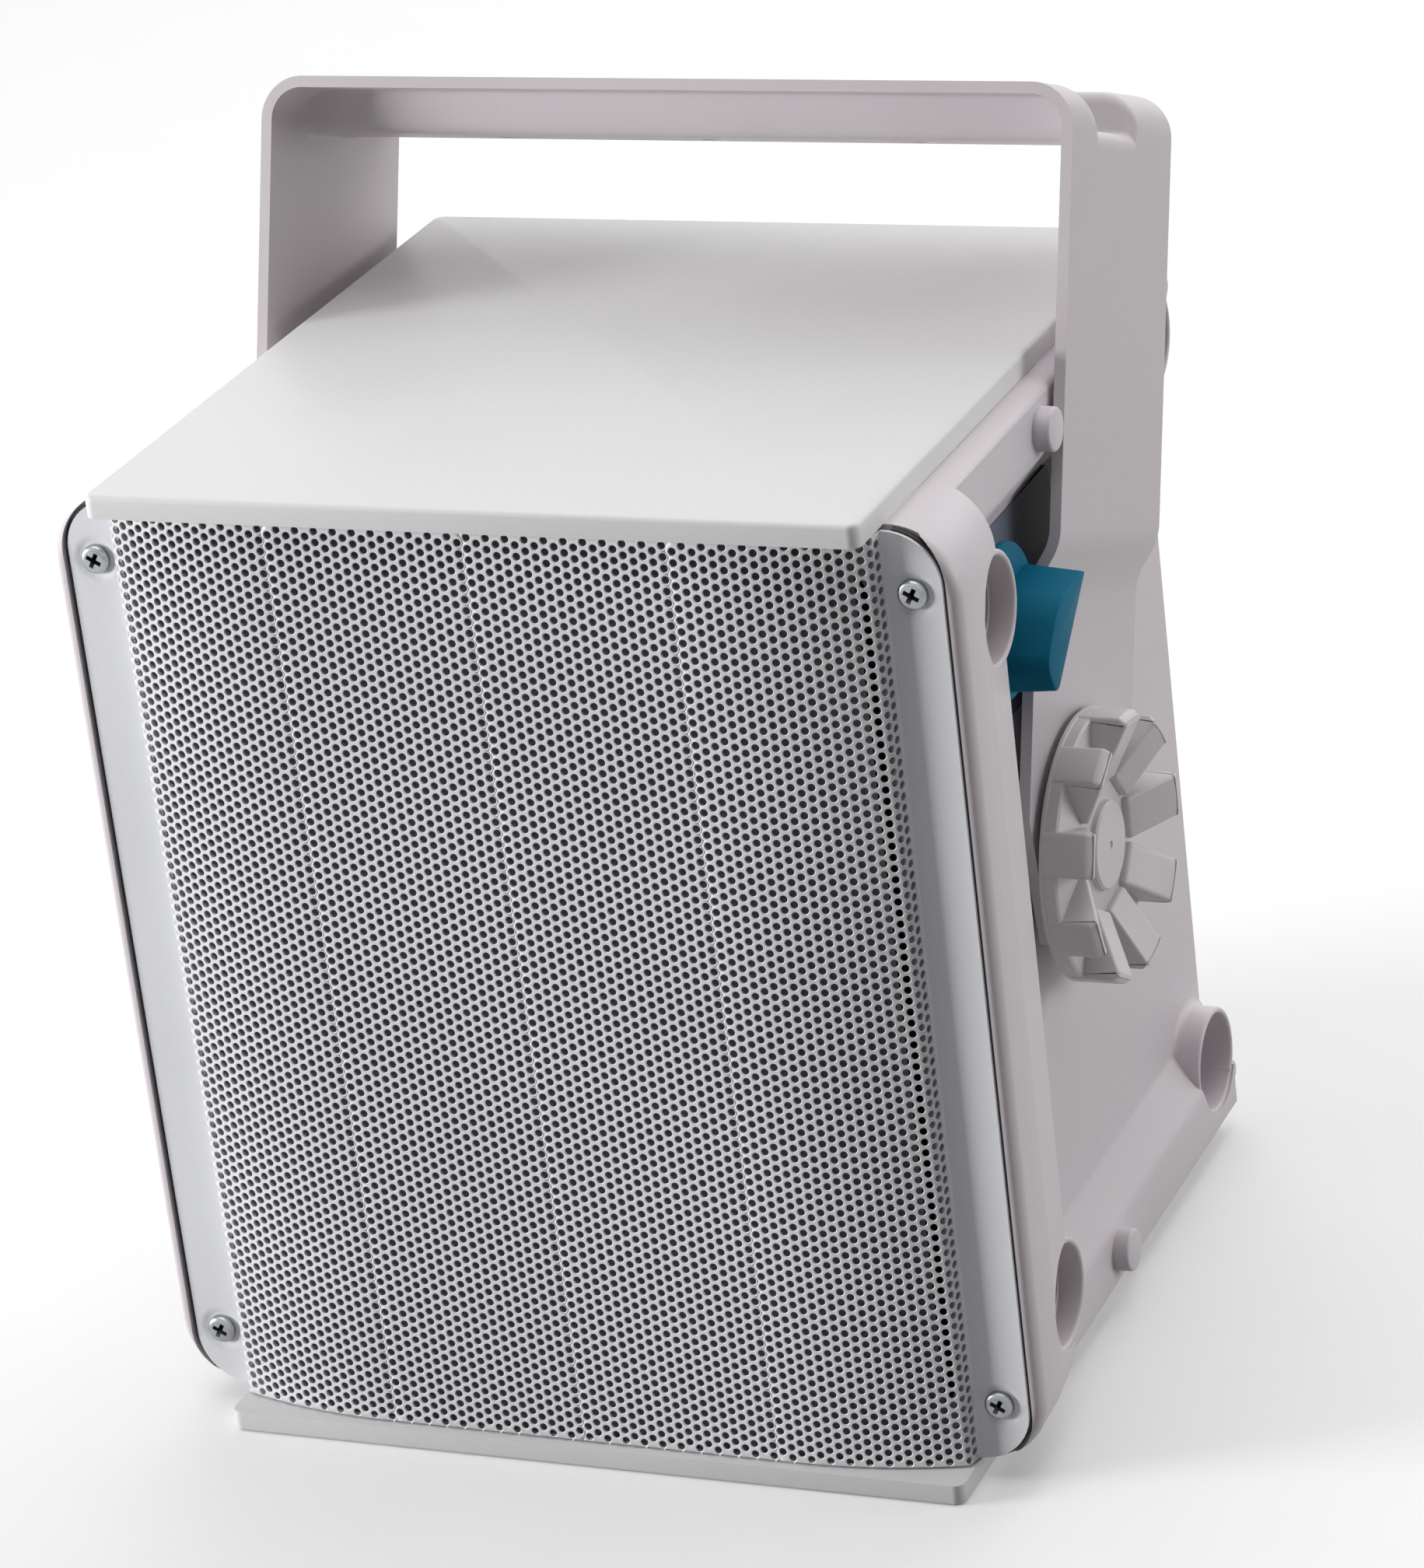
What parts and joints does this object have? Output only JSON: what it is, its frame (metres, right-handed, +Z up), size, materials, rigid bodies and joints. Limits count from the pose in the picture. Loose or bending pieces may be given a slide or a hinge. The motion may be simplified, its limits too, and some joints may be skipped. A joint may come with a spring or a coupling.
{
  "type": "wall speaker",
  "caption": "Box-shaped wall speaker with a bowed perforated grille, hung in a yoke bracket that tilts on clamped side knobs, with a turning selector.",
  "frame": {"origin": "centre of the bottom plate's underside, which stands on the floor", "axes": "+X to the side with the selector (the object's left, the viewer's right), +Y to the back, +Z up"},
  "size_m": [0.2493, 0.2214, 0.331],
  "materials": {
    "cover_plastic": "fine satin moulding",
    "shell_plastic": "fine satin moulding",
    "cup_floor": "dull moulding",
    "grille_paint": "white powder coat",
    "zinc_steel": "zinc plated",
    "black_rubber": "matt",
    "black_cloth": "open weave",
    "dial_plate": "bare printed plate",
    "black_plastic": "moulded",
    "baffle_board": "fibre board",
    "black_steel": "black coat",
    "ferrite": "sintered",
    "copper_wire": "enamelled wire",
    "cone_paper": "pressed paper",
    "spider_cloth": "treated cloth",
    "fibre": "vulcanised fibre",
    "bracket_paint": "light grey powder coat",
    "knob_plastic": "satin moulding",
    "brass": "turned",
    "teal_plastic": "smooth moulding"
  },
  "bodies": {
    "cabinet": {"top_plate": "cover_plastic", "bottom_plate": "cover_plastic", "front_frame": "shell_plastic", "front_cup_floors": "cup_floor", "grille": "grille_paint", "grille_screws": "zinc_steel", "grille_gasket": "black_rubber", "grille_cloth": "black_cloth", "rear_housing": "shell_plastic", "label_plate": "dial_plate", "back_panel": "shell_plastic", "back_panel_screws": "zinc_steel", "selector_switch": "black_plastic", "baffle": "baffle_board", "driver_basket": "black_steel", "driver_screws": "zinc_steel", "driver_gap_plate": "zinc_steel", "driver_magnet": "ferrite", "driver_pole_plate": "zinc_steel", "driver_voice_coil": "copper_wire", "driver_cone": "cone_paper", "driver_surround": "black_rubber", "driver_spider": "spider_cloth", "driver_dust_cap": "cone_paper", "transformer_core": "black_steel", "transformer_winding": "copper_wire", "terminal_block": "black_plastic", "cable_gland": "black_plastic", "pivot_stud_left": "zinc_steel", "pivot_stud_right": "zinc_steel", "friction_washer_left": "fibre", "friction_washer_right": "fibre", "steel_washer_left": "zinc_steel", "steel_washer_right": "zinc_steel"},
    "yoke": {"bracket": "bracket_paint"},
    "knob_left": {"hand_knob_left": "knob_plastic", "knob_insert_left": "brass"},
    "knob_right": {"hand_knob_right": "knob_plastic", "knob_insert_right": "brass"},
    "selector": {"selector_knob": "teal_plastic", "selector_shaft": "zinc_steel"}
  },
  "joints": [
    {"name": "bracket_tilt", "type": "hinge", "parent": "cabinet", "child": "yoke", "pos_m": [0, 0.0063, 0.134], "axis": [-1, 0, 0], "range_deg": [0, 139]},
    {"name": "knob_left_turn", "type": "hinge", "parent": "cabinet", "child": "knob_left", "pos_m": [-0.117, 0.0063, 0.134], "axis": [-1, 0, 0], "continuous": true},
    {"name": "knob_right_turn", "type": "hinge", "parent": "cabinet", "child": "knob_right", "pos_m": [0.117, 0.0063, 0.134], "axis": [1, 0, 0], "continuous": true},
    {"name": "selector_turn", "type": "hinge", "parent": "cabinet", "child": "selector", "pos_m": [0.115, -0.029, 0.2109], "axis": [1, 0, 0], "range_deg": [-60, 60]}
  ]
}
